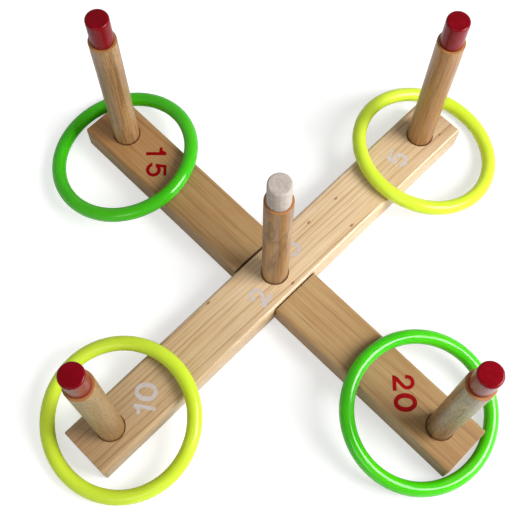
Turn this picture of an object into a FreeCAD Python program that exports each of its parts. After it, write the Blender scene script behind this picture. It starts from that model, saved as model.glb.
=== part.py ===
"""Ring toss set: two boards crossed in a half lap, five pegs and four tube rings.

Units are millimetres and +Z is up. The origin is the centre of the cross on the
plane the set stands on. The cap board lies along Y and the base board along X.
"""
import FreeCAD, Part
import math
import os

V = FreeCAD.Vector
UP = V(0, 0, 1)

# Boards, planed from one section of timber
BOARD_LENGTH = 490.0
BOARD_WIDTH = 53.5
BOARD_THICK = 30.0
LONG_EDGE_R = 4.0
END_CORNER_R = 2.5
END_EDGE_CHAMFER = 0.6
LAP_SIDE_GAP = 0.6
LAP_MOUTH_EASE = 0.8
LAP_DEPTH = BOARD_THICK / 2

# Pegs, 25.4 mm dowel pushed into sockets, with a narrower painted neck above
PEG_R = 12.7
NECK_R = 10.3
SHOULDER_HEIGHT = 167.0
PEG_HEIGHT = 198.0
PEG_SPACING = 212.0
SHOULDER_EDGE_R = 0.5
NECK_TOP_R = 2.0
FOOT_CHAMFER = 1.2
SOCKET_DEPTH = 24.0
SOCKET_CLEARANCE = 0.05
SOCKET_EASE = 1.0

# Rings, bent from hollow tube whose butted ends are held by a plug inside
RING_R = 69.85
TUBE_R = 7.0
TUBE_WALL = 1.6
BUTT_GAP = 0.4
PLUG_CLEARANCE = 0.05
PLUG_HALF_ANGLE = 13.0
PLUG_CHAMFER = 0.8

# Where each ring lies: its low side on the floor, its high side across a board.
# `slope` is how far it tips, `downhill` the heading it tips towards and `joint`
# the heading of its butted ends, all in degrees.
REST_GAP = 0.02
RING_POSES = {
    "5": {"centre": (13.08, 206.57, 22.468), "slope": 12.785, "downhill": 78.198, "joint": 122.0},
    "10": {"centre": (-1.2, -200.65, 22.447), "slope": 12.768, "downhill": 268.93, "joint": 185.0},
    "15": {"centre": (-198.96, -16.33, 22.481), "slope": 12.796, "downhill": 194.834, "joint": 145.0},
    "20": {"centre": (189.87, -1.1, 22.447), "slope": 12.768, "downhill": 359.02, "joint": 68.0},
}

# Where each peg stands
PEG_PLACES = {
    "5": (0.0, PEG_SPACING),
    "10": (0.0, -PEG_SPACING),
    "15": (-PEG_SPACING, 0.0),
    "20": (PEG_SPACING, 0.0),
    "25": (0.0, 0.0),
}


def board_blank():
    """One board along X with rounded long edges and eased ends, underside at z = 0."""
    corner = V(-BOARD_LENGTH / 2, -BOARD_WIDTH / 2, 0)
    blank = Part.makeBox(BOARD_LENGTH, BOARD_WIDTH, BOARD_THICK, corner)
    upright = [e for e in blank.Edges if is_along(e, UP)]
    blank = blank.makeFillet(END_CORNER_R, upright)
    flat = [e for e in blank.Edges if abs(e.CenterOfMass.z - BOARD_THICK / 2) > 0.49 * BOARD_THICK]
    blank = blank.makeChamfer(END_EDGE_CHAMFER, flat)
    return blank.common(rounded_section())


def rounded_section():
    """A long bar with the board's rounded section, longer than the board."""
    start = V(-BOARD_LENGTH, -BOARD_WIDTH / 2, 0)
    bar = Part.makeBox(2 * BOARD_LENGTH, BOARD_WIDTH, BOARD_THICK, start)
    long_edges = [e for e in bar.Edges if is_along(e, V(1, 0, 0))]
    return bar.makeFillet(LONG_EDGE_R, long_edges)


def is_along(edge, direction):
    """Whether a straight edge runs along a direction."""
    if not isinstance(edge.Curve, Part.Line):
        return False
    return abs(edge.Curve.Direction.dot(direction)) > 0.999


def lap_notch(mouth):
    """The space the other board passes through, from mid-height out to height `mouth`."""
    seat = BOARD_THICK - LAP_DEPTH
    half = BOARD_WIDTH / 2 + LAP_SIDE_GAP
    outward = math.copysign(1, mouth - seat)
    neck = mouth - outward * LAP_MOUTH_EASE
    right = [(half, seat), (half, neck), (half + LAP_MOUTH_EASE, mouth)]
    left = [(-x, z) for x, z in reversed(right)]
    corners = [V(x, -BOARD_WIDTH, z) for x, z in right + left]
    outline = Part.Face(Part.makePolygon(corners + [corners[0]]))
    return outline.extrude(V(0, 2 * BOARD_WIDTH, 0))


def socket(x, y):
    """The hole that one peg stands in, with an eased mouth at the board's top."""
    radius = PEG_R + SOCKET_CLEARANCE
    hole = Part.makeCylinder(radius, SOCKET_DEPTH, V(x, y, BOARD_THICK - SOCKET_DEPTH))
    ease_base = V(x, y, BOARD_THICK - SOCKET_EASE)
    ease = Part.makeCone(radius, radius + SOCKET_EASE, SOCKET_EASE, ease_base)
    return hole.fuse(ease)


def base_board():
    """The board along X, notched from above."""
    board = board_blank().cut(lap_notch(BOARD_THICK))
    for name in ("15", "20", "25"):
        board = board.cut(socket(*PEG_PLACES[name]))
    return board


def cap_board():
    """The board along Y, notched from below."""
    board = board_blank().cut(lap_notch(0))
    board.rotate(V(0, 0, 0), UP, 90)
    for name in ("5", "10", "25"):
        board = board.cut(socket(*PEG_PLACES[name]))
    return board


def turned(points):
    """The solid made by turning a closed outline of (radius, height) points."""
    corners = [V(r, 0, z) for r, z in points]
    outline = Part.makePolygon(corners + [corners[0]])
    return Part.Face(outline).revolve(V(0, 0, 0), UP, 360)


def peg():
    """One peg, z = 0 level with the board's top and its foot in the socket below."""
    shape = turned([
        (0, -SOCKET_DEPTH),
        (PEG_R - FOOT_CHAMFER, -SOCKET_DEPTH),
        (PEG_R, -SOCKET_DEPTH + FOOT_CHAMFER),
        (PEG_R, SHOULDER_HEIGHT),
        (NECK_R, SHOULDER_HEIGHT),
        (NECK_R, PEG_HEIGHT),
        (0, PEG_HEIGHT),
    ])
    shape = shape.makeFillet(SHOULDER_EDGE_R, [rim(shape, SHOULDER_HEIGHT, PEG_R)])
    return shape.makeFillet(NECK_TOP_R, [rim(shape, PEG_HEIGHT, NECK_R)])


def rim(shape, height, radius):
    """The circular edge of a turned shape at a height and radius."""
    for edge in shape.Edges:
        curve = edge.Curve
        if not isinstance(curve, Part.Circle):
            continue
        if abs(curve.Center.z - height) < 0.001 and abs(curve.Radius - radius) < 0.001:
            return edge
    raise ValueError("no rim at that height and radius")


def bent_rod(radius, start, end):
    """A round rod bent along the ring's circle between two angles in degrees."""
    disc = Part.Face(Part.Wire(Part.makeCircle(radius, V(RING_R, 0, 0), V(0, 1, 0))))
    disc.rotate(V(0, 0, 0), UP, start)
    return disc.revolve(V(0, 0, 0), UP, end - start)


def ring_tube():
    """The hollow tube, open by the butt gap at angle zero."""
    half_gap = math.degrees(BUTT_GAP / 2 / RING_R)
    outer = bent_rod(TUBE_R, half_gap, 360 - half_gap)
    inner = bent_rod(TUBE_R - TUBE_WALL, half_gap, 360 - half_gap)
    return outer.cut(inner)


def ring_plug():
    """The short bent plug across the joint, with eased ends."""
    radius = TUBE_R - TUBE_WALL - PLUG_CLEARANCE
    rod = bent_rod(radius, -PLUG_HALF_ANGLE, PLUG_HALF_ANGLE)
    ends = [e for e in rod.Edges if isinstance(e.Curve, Part.Circle) and is_plug_end(e, radius)]
    return rod.makeChamfer(PLUG_CHAMFER, ends)


def is_plug_end(edge, radius):
    """Whether a circular edge is the rim of one of the plug's end faces."""
    return abs(edge.Curve.Radius - radius) < 0.001 and abs(edge.Curve.Axis.z) < 0.001


def at_rest(shape, pose):
    """A ring part turned to its joint's heading, tipped and moved to where it lies."""
    heading = math.radians(pose["downhill"])
    hinge = V(-math.sin(heading), math.cos(heading), 0)
    placed = shape.copy()
    placed.rotate(V(0, 0, 0), UP, pose["joint"])
    placed.rotate(V(0, 0, 0), hinge, pose["slope"])
    placed.translate(V(*pose["centre"]) + V(0, 0, REST_GAP))
    return placed


def pieces():
    """Every node's name and shape."""
    nodes = {"base_board": base_board(), "cap_board": cap_board()}
    one_peg = peg()
    for name, (x, y) in PEG_PLACES.items():
        standing = one_peg.copy()
        standing.translate(V(x, y, BOARD_THICK))
        nodes["peg_" + name] = standing
    tube = ring_tube()
    plug = ring_plug()
    for name, pose in RING_POSES.items():
        nodes["ring_" + name] = at_rest(tube, pose)
        nodes["ring_plug_" + name] = at_rest(plug, pose)
    return nodes


def main():
    os.makedirs("parts", exist_ok=True)
    for name, shape in pieces().items():
        shape.exportStep("parts/" + name + ".step")


main()
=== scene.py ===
"""Looks for the ring toss set: procedural wood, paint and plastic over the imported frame."""
import math

import bmesh
import bpy
from mathutils import Matrix, Vector


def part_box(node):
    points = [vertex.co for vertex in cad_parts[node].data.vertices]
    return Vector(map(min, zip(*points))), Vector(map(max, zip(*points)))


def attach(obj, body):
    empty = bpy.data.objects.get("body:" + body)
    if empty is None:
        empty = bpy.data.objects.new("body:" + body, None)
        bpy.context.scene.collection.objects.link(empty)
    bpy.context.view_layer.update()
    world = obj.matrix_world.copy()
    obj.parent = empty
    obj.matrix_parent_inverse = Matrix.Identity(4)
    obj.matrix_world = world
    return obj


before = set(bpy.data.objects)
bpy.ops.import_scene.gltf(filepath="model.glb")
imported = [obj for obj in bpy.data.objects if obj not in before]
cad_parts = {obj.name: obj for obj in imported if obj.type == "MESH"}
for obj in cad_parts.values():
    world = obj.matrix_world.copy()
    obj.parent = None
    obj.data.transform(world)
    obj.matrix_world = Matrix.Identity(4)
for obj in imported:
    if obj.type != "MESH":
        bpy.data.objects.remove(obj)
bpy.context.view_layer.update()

MM = 0.001

# Pieces of the frame, by name
PEGS = ("5", "10", "15", "20", "25")
PLAIN_PEG = "25"
GREEN_RINGS = ("15", "20")
LIME_RINGS = ("5", "10")

# Sizes of the frame: metres, but PEG_PITCH is millimetres from the middle peg to each outer peg
BOARD_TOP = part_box("base_board")[1][2]
BOARD_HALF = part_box("base_board")[1][0]
PEG_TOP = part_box("peg_25")[1][2]
PEG_PITCH = 212
SOCKET_R = 13.7 * MM


# ---------------------------------------------------------------- shader helpers

class Shader:
    """A material's node tree, with one short method per kind of node."""

    def __init__(self, name):
        self.material = bpy.data.materials.new(name)
        self.material.use_nodes = True
        self.tree = self.material.node_tree
        self.tree.nodes.clear()
        self.output = self.node("ShaderNodeOutputMaterial")

    def node(self, kind, **values):
        """A node with its properties set."""
        made = self.tree.nodes.new(kind)
        for key, value in values.items():
            setattr(made, key, value)
        return made

    def put(self, socket, value):
        """Links a socket to the value, or sets the value."""
        if isinstance(value, bpy.types.NodeSocket):
            self.tree.links.new(value, socket)
        else:
            socket.default_value = value

    def math(self, operation, a, b=0.0, c=0.0):
        made = self.node("ShaderNodeMath", operation=operation)
        for socket, value in zip(made.inputs, (a, b, c)):
            self.put(socket, value)
        return made.outputs[0]

    def place(self):
        """The point in the piece's own coordinates, in metres: the set's frame at rest."""
        return self.node("ShaderNodeTexCoord").outputs["Object"]

    def split(self, vector):
        made = self.node("ShaderNodeSeparateXYZ")
        self.put(made.inputs[0], vector)
        return made.outputs

    def join(self, x, y, z):
        made = self.node("ShaderNodeCombineXYZ")
        for socket, value in zip(made.inputs, (x, y, z)):
            self.put(socket, value)
        return made.outputs[0]

    def stretch(self, vector, scale, shift=(0, 0, 0)):
        """The vector scaled and shifted."""
        made = self.node("ShaderNodeMapping")
        self.put(made.inputs["Vector"], vector)
        made.inputs["Scale"].default_value = scale
        made.inputs["Location"].default_value = shift
        return made.outputs[0]

    def noise(self, vector, scale, detail=3.0, rough=0.55, warp=0.0):
        made = self.node("ShaderNodeTexNoise")
        self.put(made.inputs["Vector"], vector)
        made.inputs["Scale"].default_value = scale
        made.inputs["Detail"].default_value = detail
        made.inputs["Roughness"].default_value = rough
        made.inputs["Distortion"].default_value = warp
        return made.outputs["Fac"]

    def ramp(self, value, stops):
        """A colour ramp through (place, colour or grey level) stops."""
        made = self.node("ShaderNodeValToRGB")
        self.put(made.inputs[0], value)
        elements = made.color_ramp.elements
        while len(elements) < len(stops):
            elements.new(0.5)
        for element, (place, colour) in zip(elements, stops):
            element.position = place
            element.color = colour if isinstance(colour, tuple) else (colour, colour, colour, 1)
        return made.outputs[0]

    def mix(self, amount, a, b, blend="MIX"):
        """Colours a and b blended by amount."""
        made = self.node("ShaderNodeMix", data_type="RGBA", blend_type=blend)
        self.put(made.inputs["Factor"], amount)
        self.put(made.inputs["A"], a)
        self.put(made.inputs["B"], b)
        return made.outputs["Result"]

    def between(self, value, low, high):
        """0 below low, 1 above high, smooth between."""
        made = self.node("ShaderNodeMapRange", interpolation_type="SMOOTHSTEP")
        self.put(made.inputs["Value"], value)
        made.inputs["From Min"].default_value = low
        made.inputs["From Max"].default_value = high
        return made.outputs[0]

    def bump(self, height, strength, distance):
        made = self.node("ShaderNodeBump")
        self.put(made.inputs["Height"], height)
        made.inputs["Strength"].default_value = strength
        made.inputs["Distance"].default_value = distance
        return made.outputs[0]

    def surface(self, colour, roughness, normal=None, **extra):
        """Finishes the material with a principled surface."""
        made = self.node("ShaderNodeBsdfPrincipled")
        self.put(made.inputs["Base Color"], colour)
        self.put(made.inputs["Roughness"], roughness)
        if normal is not None:
            self.put(made.inputs["Normal"], normal)
        for key, value in extra.items():
            self.put(made.inputs[key.replace("_", " ")], value)
        self.tree.links.new(made.outputs[0], self.output.inputs[0])
        return self.material


def srgb(red, green, blue):
    """A colour given as 0 to 255 screen levels, as linear RGBA."""
    return tuple((level / 255) ** 2.2 for level in (red, green, blue)) + (1.0,)


# ---------------------------------------------------------------- materials

# How dark the wood is through one year's growth, and through one curl of a peg's figure
YEAR_STOPS = [(0.0, 0.0), (0.72, 0.12), (0.88, 0.6), (0.94, 1.0), (1.0, 0.0)]
CURL_STOPS = [(0.0, 0.0), (0.6, 0.2), (0.9, 1.0), (1.0, 0.0)]


def growth_rings(s, grain, pith, per_metre):
    """The year's growth at each point of a board, 1 on its thin dark lines."""
    length, across, height = s.split(grain)[:3]
    sway = s.noise(s.stretch(grain, (5, 25, 25)), 1.0, 2.0)
    sway = s.math("MULTIPLY", s.math("SUBTRACT", sway, 0.5), 0.008)
    side = s.math("ADD", s.math("SUBTRACT", across, pith[0] * MM), sway)
    depth = s.math("SUBTRACT", height, pith[1] * MM)
    radius = s.math("SQRT", s.math("ADD", s.math("POWER", side, 2.0), s.math("POWER", depth, 2.0)))
    radius = s.math("ADD", radius, s.math("MULTIPLY", length, pith[2]))
    uneven = s.noise(s.join(radius, 0.0, 0.0), 120.0, 1.0)
    phase = s.math("ADD", s.math("MULTIPLY", radius, per_metre), s.math("MULTIPLY", uneven, 2.0))
    return s.ramp(s.math("FRACT", phase), YEAR_STOPS)


def specks_on(s, colour, across, length, specks):
    """Small brown pin knots, drawn out along the grain: across, along and size in millimetres."""
    for spot_x, spot_y, size in specks:
        near = s.math("SUBTRACT", across, spot_x * MM)
        far = s.math("MULTIPLY", s.math("SUBTRACT", length, spot_y * MM), 0.5)
        gap = s.math("SQRT", s.math("ADD", s.math("POWER", near, 2.0), s.math("POWER", far, 2.0)))
        spot = s.math("SUBTRACT", 1.0, s.between(gap, size * 0.3 * MM, size * MM))
        colour = s.mix(s.math("MULTIPLY", spot, 0.8), colour, srgb(124, 68, 26))
    return colour


def lap_gap_shade_on(s, colour, length, height, reach, top):
    """Painted shade inside the lap joint's gap, out to `reach` along the board and up to the height `top`."""
    span = s.math("ABSOLUTE", length)
    inside = s.math("SUBTRACT", 1.0, s.between(span, reach, reach + 0.7 * MM))
    above = s.between(height, BOARD_TOP / 2 - 0.2 * MM, BOARD_TOP / 2)
    below = s.math("SUBTRACT", 1.0, s.between(height, top, top + 1.4 * MM))
    # Painted shade on the faces inside the lap joint's gap
    gap_shadow = s.math("MULTIPLY", inside, s.math("MULTIPLY", above, below))
    return s.mix(s.math("MULTIPLY", gap_shadow, 0.8), colour, srgb(52, 32, 18))


def socket_shade_on(s, colour, across, length, height, places):
    """Painted shade in the eased mouth of each peg's socket; places are millimetres along the board."""
    shallow = s.between(height, BOARD_TOP - 3 * MM, BOARD_TOP - 2.5 * MM)
    for place in places:
        far = s.math("SUBTRACT", length, place * MM)
        gap = s.math("SQRT", s.math("ADD", s.math("POWER", across, 2.0), s.math("POWER", far, 2.0)))
        near = s.math("SUBTRACT", 1.0, s.between(gap, SOCKET_R - 0.3 * MM, SOCKET_R + 0.3 * MM))
        # Painted shade in the socket's mouth, around the peg's foot
        amount = s.math("MULTIPLY", s.math("MULTIPLY", near, shallow), 0.5)
        colour = s.mix(amount, colour, srgb(124, 70, 32))
    return colour


def board_wood(name, along, tones, pith, per_metre, lines, tone_and_shade, shaded_lap, shaded_sockets, specks):
    """Lacquered pine for a board along an axis, its tone drifting from one end to the other, partly with
    painted shade.

    `pith` is where the tree's middle lies across and up, in millimetres, and how it climbs along
    the board; `per_metre` counts growth rings and `lines` is how strongly they show. `tone_and_shade`
    is the tone from the board's low end to its high end, partly the wood's own and partly painted
    shade of the key light's fall-off and of the pegs' shadows, and `shaded_lap` is the reach and top
    of the painted shade in the lap joint's gap.
    """
    s = Shader(name)
    light, mid, dark = tones
    parts = s.split(s.place())
    length, across, height = parts[along], parts[1 - along], parts[2]
    grain = s.join(length, across, height)
    late = growth_rings(s, grain, pith, per_metre)
    fade = s.between(s.noise(s.stretch(grain, (9, 90, 90)), 1.0, 2.0), 0.26, 0.54)
    fibre = s.noise(s.stretch(grain, (22, 700, 700)), 1.0, 4.0, 0.65)
    streak = s.noise(s.stretch(grain, (9, 330, 330)), 1.0, 3.0, 0.6)
    broad = s.noise(s.stretch(grain, (7, 55, 55)), 1.0, 3.0)
    colour = s.mix(s.math("MULTIPLY", s.between(broad, 0.36, 0.70), 0.6), light, mid)
    colour = s.mix(s.math("MULTIPLY", s.between(streak, 0.46, 0.66), 0.5), colour, mid)
    colour = s.mix(s.math("MULTIPLY", s.math("MULTIPLY", late, fade), lines), colour, dark)
    colour = s.mix(s.math("MULTIPLY", s.between(fibre, 0.5, 0.70), 0.36), colour, dark)
    # The tone along the board: partly the wood's own, partly painted shade of the key light's fall-off
    # towards the ends and of the pegs' shadows
    part_way = s.math("MULTIPLY_ADD", length, 0.5 / BOARD_HALF, 0.5)
    colour = s.mix(1.0, colour, s.ramp(part_way, tone_and_shade), "MULTIPLY")
    colour = specks_on(s, colour, across, length, specks)
    colour = lap_gap_shade_on(s, colour, length, height, *shaded_lap)
    colour = socket_shade_on(s, colour, across, length, height, shaded_sockets)
    end = s.math("ABSOLUTE", s.split(s.node("ShaderNodeNewGeometry").outputs["Normal"])[along])
    colour = s.mix(s.math("MULTIPLY", s.between(end, 0.6, 0.95), 0.45), colour, dark)
    relief = s.math("ADD", s.math("MULTIPLY", fibre, 0.5), s.math("MULTIPLY", late, -0.3))
    rough = s.math("ADD", 0.30, s.math("MULTIPLY", fibre, 0.18))
    return s.surface(colour, rough, s.bump(relief, 0.2, 0.0003), Coat_Weight=0.4, Coat_Roughness=0.13)


def peg_wood(name, shift, tones, streaks, pores, figure, foot_shade):
    """Turned hardwood: flowing figure, fine streaks and pores, dark at its shoulder, with painted shade at
    its foot.
    """
    s = Shader(name)
    light, mid, dark = tones
    place = s.place()
    height = s.split(place)[2]
    flow = s.noise(s.stretch(place, (45, 45, 11), shift), 1.0, 2.0, 0.5, 0.5)
    streak = s.noise(s.stretch(place, (700, 700, 16), shift), 1.0, 4.0, 0.6)
    pore = s.noise(s.stretch(place, (800, 800, 240), shift), 1.0, 2.0, 0.6)
    curl = s.ramp(s.math("FRACT", s.math("MULTIPLY", flow, 8.0)), CURL_STOPS)
    colour = s.mix(s.math("MULTIPLY", s.between(flow, 0.38, 0.62), 0.7), light, mid)
    colour = s.mix(s.math("MULTIPLY", s.between(streak, 0.46, 0.62), streaks), colour, dark)
    colour = s.mix(s.math("MULTIPLY", curl, figure), colour, dark)
    colour = s.mix(s.math("MULTIPLY", s.between(pore, 0.50, 0.62), pores), colour, dark)
    shoulder = BOARD_TOP + SHOULDER
    rim = s.math("MULTIPLY", s.between(height, shoulder - 1.0 * MM, shoulder - 0.4 * MM), 0.6)
    colour = s.mix(rim, colour, srgb(146, 84, 36))
    ledge = s.math("MULTIPLY", s.between(height, shoulder - 0.3 * MM, shoulder - 0.05 * MM), 0.75)
    colour = s.mix(ledge, colour, srgb(176, 122, 70))
    # Painted shade around the foot, where the peg stands in the board
    above = s.math("SUBTRACT", 1.0, s.between(height, BOARD_TOP + 0.3 * MM, BOARD_TOP + 1.4 * MM))
    below = s.between(height, BOARD_TOP - 2.4 * MM, BOARD_TOP - 1.0 * MM)
    shade_at_foot = s.math("MULTIPLY", s.math("MULTIPLY", above, below), foot_shade)
    colour = s.mix(shade_at_foot, colour, srgb(48, 28, 14))
    relief = s.math("ADD", s.math("MULTIPLY", pore, 0.6), s.math("MULTIPLY", streak, 0.4))
    rough = s.math("ADD", 0.32, s.math("MULTIPLY", streak, 0.2))
    return s.surface(colour, rough, s.bump(relief, 0.25, 0.0003), Coat_Weight=0.5, Coat_Roughness=0.28)


def gloss_paint(name, deep, worn):
    """Brushed gloss paint with faint unevenness."""
    s = Shader(name)
    place = s.place()
    patch = s.noise(s.stretch(place, (160, 160, 90)), 1.0, 3.0)
    fine = s.noise(place, 900.0, 2.0)
    colour = s.mix(s.between(patch, 0.4, 0.72), deep, worn)
    rough = s.math("ADD", 0.16, s.math("MULTIPLY", patch, 0.12))
    return s.surface(colour, rough, s.bump(fine, 0.1, 0.0002), Specular_IOR_Level=0.14,
                     Coat_Weight=0.14, Coat_Roughness=0.06)


def thin_paint(name, paint, wood, cover, grain_scale):
    """Thin satin paint through which the wood's grain shows."""
    s = Shader(name)
    place = s.place()
    grain = s.noise(s.stretch(place, grain_scale), 1.0, 3.0, 0.6)
    patch = s.noise(place, 220.0, 3.0)
    worn = s.math("ADD", s.math("MULTIPLY", grain, 0.6), s.math("MULTIPLY", patch, 0.4))
    colour = s.mix(s.math("MULTIPLY", s.between(worn, 0.44, 0.66), 1.0 - cover), paint, wood)
    rough = s.math("ADD", 0.45, s.math("MULTIPLY", grain, 0.2))
    return s.surface(colour, rough, s.bump(grain, 0.15, 0.0002), Specular_IOR_Level=0.08)


def ring_plastic(name, body, deep, rim, rough, shine):
    """Extruded tube: an even tint with faint handling marks, and a deeper tint where seen edge-on that paints
    in light glowing through the plastic.
    """
    s = Shader(name)
    place = s.place()
    cloud = s.noise(place, 18.0, 1.0)
    scuff = s.noise(s.stretch(place, (700, 700, 300)), 1.0, 3.0, 0.7)
    facing = s.node("ShaderNodeLayerWeight").outputs["Facing"]
    colour = s.mix(s.between(cloud, 0.35, 0.75), body, deep)
    # Painted light: a deeper tint where the tube is seen edge-on, standing in for light shining through the
    # plastic
    colour = s.mix(s.math("MULTIPLY", s.between(facing, 0.5, 0.95), 0.7), colour, rim)
    uneven = s.math("ADD", rough, s.math("MULTIPLY", s.between(scuff, 0.5, 0.8), 0.06))
    return s.surface(colour, uneven, s.bump(scuff, 0.02, 0.0002), Specular_IOR_Level=shine,
                     Coat_Weight=0.1, Coat_Roughness=0.5, Subsurface_Weight=0.25,
                     Subsurface_Radius=(0.004, 0.006, 0.002), Subsurface_Scale=1.0)


def floor_white():
    """A matt pale floor, evened out for the camera where the key light falls off."""
    s = Shader("floor_white")
    place = s.place()
    cloud = s.noise(place, 3.0, 2.0)
    plain = s.mix(cloud, (0.80, 0.80, 0.80, 1), (0.84, 0.84, 0.84, 1))
    gap = s.node("ShaderNodeVectorMath", operation="DISTANCE")
    s.put(gap.inputs[0], place)
    s.put(gap.inputs[1], KEY_PLACE)
    cube = s.math("POWER", gap.outputs["Value"], 3.0)
    light = s.math("ADD", s.math("DIVIDE", KEY_SHARE, cube), SKY_SHARE)
    level = s.math("DIVIDE", FLOOR_LIT, light)
    even = s.join(level, level, level)
    seen = s.node("ShaderNodeLightPath").outputs["Is Camera Ray"]
    glow = s.math("MULTIPLY", seen, FLOOR_GLOW)
    return s.surface(s.mix(seen, plain, even), 1.0, Specular_IOR_Level=0.0,
                     Emission_Color=(1, 1, 1, 1), Emission_Strength=glow)


# ---------------------------------------------------------------- mesh helpers

def mesh_piece(name, build, material, body):
    """A mesh object made by build(bmesh), riding on a body."""
    mesh = bpy.data.meshes.new(name)
    bm = bmesh.new()
    build(bm)
    bmesh.ops.recalc_face_normals(bm, faces=bm.faces)
    bm.to_mesh(mesh)
    bm.free()
    piece = bpy.data.objects.new(name, mesh)
    bpy.context.scene.collection.objects.link(piece)
    mesh.materials.append(material)
    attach(piece, body)
    return piece


def arc(cx, cy, radius, start, end, flatten=1.0):
    """Points along an arc, angles in degrees, both ends included."""
    steps = max(6, int(abs(end - start) / 8))
    angles = [math.radians(start + (end - start) * i / steps) for i in range(steps + 1)]
    return [(cx + radius * math.cos(a), cy + radius * flatten * math.sin(a)) for a in angles]


# ---------------------------------------------------------------- numerals

# Millimetres: a digit's height, and how far its paint stands above the boards and sinks into them
DIGIT_HEIGHT = 20.6
PAINT_THICK = 0.12
PAINT_SINK = 0.02

# Digit outlines in millimetres, from the digit's lower left corner
ONE = [(5.4, 0), (8.9, 0), (8.9, 20.4), (5.9, 20.4), (3.3, 16.4), (0, 16.3), (0, 13.3), (5.4, 13.3)]
TWO = (arc(7.2, 13.8, 7.0, 193, -45)
       + [(6.4, 3.7), (15.2, 3.7), (15.2, 0.1), (0.7, 0.1), (0.7, 2.5), (2.4, 5.1)]
       + arc(7.2, 13.8, 3.5, -33, 206))
FIVE = ([(1.5, 9.7), (2.9, 20.6), (14.6, 20.6), (14.6, 17.6), (5.9, 17.6), (5.3, 14.3)]
        + arc(8.3, 7.5, 7.5, 112, -138) + [(0.3, 4.9), (0.3, 6.3), (4.0, 6.3)] + arc(8.3, 7.5, 4.0, 200, 508))
ZERO_OUTER = arc(8.8, 10.8, 8.8, 0, 352, 1.24)
ZERO_INNER = arc(8.8, 10.8, 4.3, 0, 352, 1.58)

# Each digit's outline, its hole's outline and its width
OUTLINES = {
    "0": (ZERO_OUTER, ZERO_INNER, 17.6),
    "1": (ONE, None, 8.9),
    "2": (TWO, None, 15.2),
    "5": (FIVE, None, 15.8),
}

# Each numeral's digits: the digit, its centre on the boards in millimetres, and its turn in degrees
NUMERALS = {
    "15": ("base", "red", [("1", -176.0, 7.6, -45), ("5", -161.2, -6.5, -45)]),
    "20": ("base", "red", [("2", 161.1, 6.4, -45), ("0", 174.5, -6.5, -45)]),
    "10": ("cap", "white", [("1", 9.6, -180.3, 125), ("0", -0.8, -167.0, 128)]),
    "5": ("cap", "white", [("5", 2.7, 175.0, 108)]),
    "25": ("cap", "white", [("2", 7.5, -28.3, 104), ("5", -6.1, 28.0, 108)]),
}


def digit(bm, name, x, y, turn):
    """Adds one digit as a thin solid of paint lying on the boards' top."""
    outer, inner, width = OUTLINES[name]
    spin = Matrix.Rotation(math.radians(turn), 2)
    centre = Vector((width / 2, DIGIT_HEIGHT / 2))

    def ring(points, z):
        flat = [spin @ (Vector(p) - centre) + Vector((x, y)) for p in points]
        return [bm.verts.new((p.x * MM, p.y * MM, z)) for p in flat]

    low, high = BOARD_TOP - PAINT_SINK * MM, BOARD_TOP + PAINT_THICK * MM
    walls = [(ring(points, low), ring(points, high)) for points in (outer, inner) if points]
    for below, above in walls:
        for i in range(len(below)):
            j = (i + 1) % len(below)
            bm.faces.new((below[i], below[j], above[j], above[i]))
    for level in (0, 1):
        if inner:
            a, b = walls[0][level], walls[1][level]
            for i in range(len(a)):
                j = (i + 1) % len(a)
                bm.faces.new((a[i], a[j], b[j], b[i]))
        else:
            bm.faces.new(walls[0][level])


def numerals():
    """The painted numerals on both boards."""
    paints = {
        "red": thin_paint("numeral_red", srgb(142, 0, 16), srgb(104, 0, 12), 0.3, (300, 300, 300)),
        "white": thin_paint("numeral_white", srgb(196, 188, 186), srgb(186, 160, 132), 0.4, (500, 500, 500)),
    }
    for name, (body, paint, digits) in NUMERALS.items():
        def build(bm):
            for entry in digits:
                digit(bm, *entry)
        mesh_piece("numeral_" + name, build, paints[paint], body)


# ---------------------------------------------------------------- pegs

# The pegs: the shoulder's height above the boards, the neck's radius and the round at its top
SHOULDER = 167 * MM
NECK_R = 10.3 * MM
NECK_ROUND = 2.0 * MM

# The coat on a neck: how far it stands out, starts above the shoulder and wavers at its edge,
# then how far its hidden side lies in the wood and below the coat's own top
COAT_THICK = 0.15 * MM
COAT_START = 0.25 * MM
COAT_WANDER = 0.12 * MM
COAT_INSET = 0.3 * MM
CAP_DEPTH = 0.5 * MM

# The coat's mesh: rows up the neck, rows over the round and points around
NECK_ROWS = 12
ROUND_ROWS = 8
TURNS = 96


def coat_outside(low, top):
    """The coat's outer profile: (radius, height) up the neck, over its round and in across the top."""
    radius = NECK_R + COAT_THICK
    flat = radius - NECK_ROUND
    bend = top - NECK_ROUND
    points = [(radius, low + (bend - low) * i / NECK_ROWS) for i in range(NECK_ROWS + 1)]
    for i in range(1, ROUND_ROWS + 1):
        a = math.radians(90 * i / ROUND_ROWS)
        points.append((flat + NECK_ROUND * math.cos(a), bend + NECK_ROUND * math.sin(a)))
    return points + [(flat * f, top) for f in (0.75, 0.5, 0.25)]


def coat_inside(low, top):
    """The coat's inner profile, hidden in the wood: out under the top and down the neck."""
    flat = NECK_R + COAT_THICK - NECK_ROUND
    points = [(flat * f, top - CAP_DEPTH) for f in (0.25, 0.5, 0.75)]
    return points + [(NECK_R - COAT_INSET, top - NECK_ROUND), (NECK_R - COAT_INSET, low)]


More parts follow.
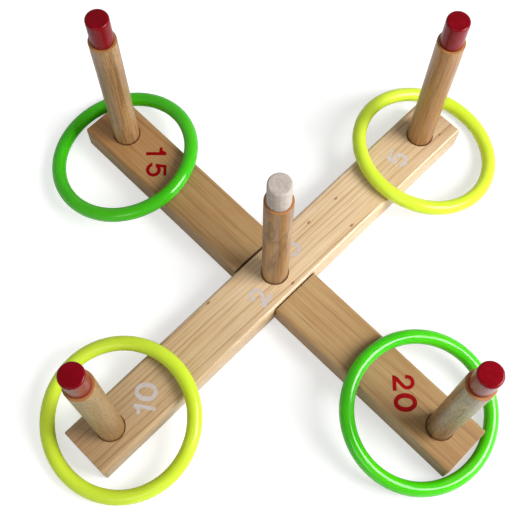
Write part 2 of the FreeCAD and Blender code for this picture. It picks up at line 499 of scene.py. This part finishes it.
def neck_coat(x, y):
    """Builds the coat of paint over a peg's neck and top, with a slightly wandering lower edge."""
    def build(bm):
        low = BOARD_TOP + SHOULDER + COAT_START
        top = PEG_TOP + COAT_THICK
        profile = coat_outside(low, top)
        inner = coat_inside(low, top)
        rings = []
        for radius_at, z in profile + inner:
            ring = []
            for k in range(TURNS):
                a = 2 * math.pi * k / TURNS
                wander = COAT_WANDER * math.sin(3 * a + 50 * x) * math.sin(5 * a + 70 * y)
                lift = wander if abs(z - low) < 1e-6 else 0.0
                east = x + radius_at * math.cos(a)
                north = y + radius_at * math.sin(a)
                ring.append(bm.verts.new((east, north, z + lift)))
            rings.append(ring)
        caps = {}
        for key, z in (("top", top), ("inner", top - CAP_DEPTH)):
            caps[key] = bm.verts.new((x, y, z))
        outer_last = len(profile) - 1
        for i in range(len(rings)):
            if i == outer_last:
                continue
            j = (i + 1) % len(rings)
            for k in range(TURNS):
                m = (k + 1) % TURNS
                bm.faces.new((rings[i][k], rings[i][m], rings[j][m], rings[j][k]))
        for k in range(TURNS):
            m = (k + 1) % TURNS
            bm.faces.new((rings[outer_last][k], rings[outer_last][m], caps["top"]))
            bm.faces.new((rings[outer_last + 1][k], rings[outer_last + 1][m], caps["inner"]))
    return build


def pegs():
    """Wood for every peg, and the coat on every neck."""
    red = gloss_paint("neck_red", srgb(116, 0, 20), srgb(130, 0, 28))
    white = thin_paint("neck_white", srgb(186, 177, 169), srgb(156, 130, 110), 0.45, (620, 620, 22))
    # Each peg's three tones, then how strong its streaks, pores, figure and painted shade at the foot are
    woods = {
        "15": ((srgb(178, 139, 92), srgb(154, 111, 68), srgb(84, 50, 24)), 0.60, 0.30, 0.10, 0.8),
        "5": ((srgb(178, 127, 68), srgb(155, 104, 48), srgb(92, 54, 22)), 0.55, 0.25, 0.10, 0.8),
        "10": ((srgb(160, 124, 74), srgb(140, 102, 54), srgb(84, 56, 28)), 0.30, 0.60, 0.10, 0.4),
        "20": ((srgb(162, 124, 80), srgb(134, 96, 54), srgb(40, 26, 14)), 0.50, 0.75, 0.35, 0.8),
        "25": ((srgb(172, 128, 76), srgb(130, 86, 42), srgb(66, 38, 16)), 0.30, 0.15, 0.60, 0.8),
    }
    for name in PEGS:
        low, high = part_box("peg_" + name)
        x, y = (low[0] + high[0]) / 2, (low[1] + high[1]) / 2
        dress("peg_" + name, peg_wood("peg_wood_" + name, (x * 310, y * 230, 0), *woods[name]))
        paint = white if name == PLAIN_PEG else red
        piece = mesh_piece("neck_coat_" + name, neck_coat(x, y), paint, "peg_" + name)
        for face in piece.data.polygons:
            face.use_smooth = True


def dress(node, material):
    """Gives a CAD node a new material."""
    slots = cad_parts[node].data.materials
    slots.clear()
    slots.append(material)


def boards():
    """Pine for both boards."""
    base_tones = srgb(192, 158, 110), srgb(172, 130, 80), srgb(122, 78, 38)
    # Tone along the base, partly painted shade of the light's fall-off and of the pegs' shadows
    base_tone_and_shade = [(0.0, (0.86, 0.68, 0.53, 1)), (0.2, (0.82, 0.76, 0.70, 1)), (0.45, (0.84, 0.81, 0.78, 1)),
                  (0.58, (0.93, 0.93, 0.93, 1)), (0.75, (0.78, 0.76, 0.74, 1)), (1.0, (0.66, 0.60, 0.48, 1))]
    base = board_wood("base_pine", 0, base_tones, (34, -16, 0.010), 230.0, 0.5, base_tone_and_shade,
                      (27.6 * MM, BOARD_TOP + MM), (-PEG_PITCH, PEG_PITCH), [])
    cap_tones = srgb(226, 200, 162), srgb(212, 178, 132), srgb(150, 94, 44)
    # Tone along the cap, partly painted shade of the light's fall-off towards its ends
    cap_tone_and_shade = [(0.0, (0.58, 0.50, 0.40, 1)), (0.25, (0.88, 0.85, 0.80, 1)), (0.5, (0.95, 0.94, 0.92, 1)),
                 (0.75, 1.0), (1.0, (0.76, 0.71, 0.66, 1))]
    cap = board_wood("cap_pine", 1, cap_tones, (36, -14, 0.012), 270.0, 0.6, cap_tone_and_shade,
                     (27.2 * MM, BOARD_TOP - 3.2 * MM), (-PEG_PITCH, 0, PEG_PITCH),
                     [(-11.6, 98.4, 1.5), (19.4, 88.4, 1.6), (-12.6, 60.4, 1.5), (20.4, 3.9, 1.6),
                      (-22.6, -67.6, 1.5), (14.4, 226.4, 1.3)])
    dress("base_board", base)
    dress("cap_board", cap)


def rings():
    """Plastic for every ring and its plug."""
    green = ring_plastic("ring_green", srgb(72, 198, 2), srgb(60, 190, 0), srgb(34, 156, 0), 0.13, 0.5)
    lime = ring_plastic("ring_lime", srgb(210, 240, 62), srgb(203, 234, 50), srgb(222, 220, 8), 0.22, 0.38)
    plug = ring_plastic("ring_plug", srgb(225, 224, 214), srgb(210, 208, 198), srgb(196, 194, 184), 0.3, 0.4)
    for names, material in ((GREEN_RINGS, green), (LIME_RINGS, lime)):
        for name in names:
            dress("ring_" + name, material)
            dress("ring_plug_" + name, plug)


# ---------------------------------------------------------------- stage, light, camera

# The camera, fitted to the picture: degrees, metres, millimetres of lens and shares of the frame
CAMERA_AZIMUTH = 41.8
CAMERA_ELEVATION = 68.95
CAMERA_ROLL = 3.02
CAMERA_PLACE = (0.2049, -0.23255, 0.8815)
CAMERA_LENS = 65.9
CAMERA_SHIFT = (-0.034, -0.003)

# The lights: metres and watts
KEY_PLACE = Vector((0.878, 0.487, 0.903))
KEY_SIZE = 0.72
KEY_POWER = 23.0
FILL_SIZE = 0.9
FILL_POWER = 5.0

# The key's and the sky's shares of the floor's light, and the floor's level and glow for the camera
KEY_SHARE = 1.67
SKY_SHARE = 0.30
FLOOR_LIT = 0.53
FLOOR_GLOW = 0.57
FLOOR_SIZE = 12
FLOOR_DROP = 0.4 * MM

# The sky's grey at the horizon and overhead
SKY_LOW = 0.58
SKY_HIGH = 0.18


def stage():
    """A wide pale floor."""
    bpy.ops.mesh.primitive_plane_add(size=FLOOR_SIZE)
    floor = bpy.context.object
    floor.name = "floor"
    floor.location.z = -FLOOR_DROP
    floor.data.materials.append(floor_white())


def back_vector(azimuth, elevation):
    """The unit vector from the set towards an azimuth and elevation in degrees."""
    a, e = math.radians(azimuth), math.radians(elevation)
    return Vector((math.sin(a) * math.cos(e), -math.cos(a) * math.cos(e), math.sin(e)))


def soft_light(name, place, size, power):
    """A square area light aimed at the middle of the set."""
    data = bpy.data.lights.new(name, "AREA")
    data.shape = "SQUARE"
    data.size = size
    data.energy = power
    lamp = bpy.data.objects.new(name, data)
    bpy.context.scene.collection.objects.link(lamp)
    lamp.location = place
    lamp.rotation_euler = place.to_track_quat("Z", "Y").to_euler()


def sky():
    """A dim even sky, brighter towards the horizon like the walls of a white studio."""
    world = bpy.data.worlds.new("sky")
    world.use_nodes = True
    tree = world.node_tree
    split = tree.nodes.new("ShaderNodeSeparateXYZ")
    ramp = tree.nodes.new("ShaderNodeValToRGB")
    tree.links.new(tree.nodes.new("ShaderNodeTexCoord").outputs["Generated"], split.inputs[0])
    tree.links.new(split.outputs[2], ramp.inputs[0])
    tree.links.new(ramp.outputs[0], tree.nodes["Background"].inputs[0])
    ramp.color_ramp.elements[0].color = (SKY_LOW, SKY_LOW, SKY_LOW, 1)
    ramp.color_ramp.elements[1].color = (SKY_HIGH, SKY_HIGH, SKY_HIGH, 1)
    bpy.context.scene.world = world


def lights():
    """A big key from the picture's right, a weak fill and a dim sky."""
    soft_light("key", KEY_PLACE, KEY_SIZE, KEY_POWER)
    soft_light("fill", back_vector(20, 40) * 2.0, FILL_SIZE, FILL_POWER)
    sky()


def camera():
    """The camera at the picture's viewing angle."""
    data = bpy.data.cameras.new("camera")
    data.lens = CAMERA_LENS
    data.shift_x, data.shift_y = CAMERA_SHIFT
    a = math.radians(CAMERA_AZIMUTH)
    back = back_vector(CAMERA_AZIMUTH, CAMERA_ELEVATION)
    right = Vector((math.cos(a), math.sin(a), 0))
    turn = Matrix((right, back.cross(right), back)).transposed()
    turn = turn @ Matrix.Rotation(math.radians(CAMERA_ROLL), 3, "Z")
    place = bpy.data.objects.new("camera", data)
    bpy.context.scene.collection.objects.link(place)
    place.matrix_world = Matrix.Translation(CAMERA_PLACE) @ turn.to_4x4()
    bpy.context.scene.camera = place


bpy.context.scene.view_settings.view_transform = "Standard"
boards()
numerals()
pegs()
rings()
stage()
lights()
camera()
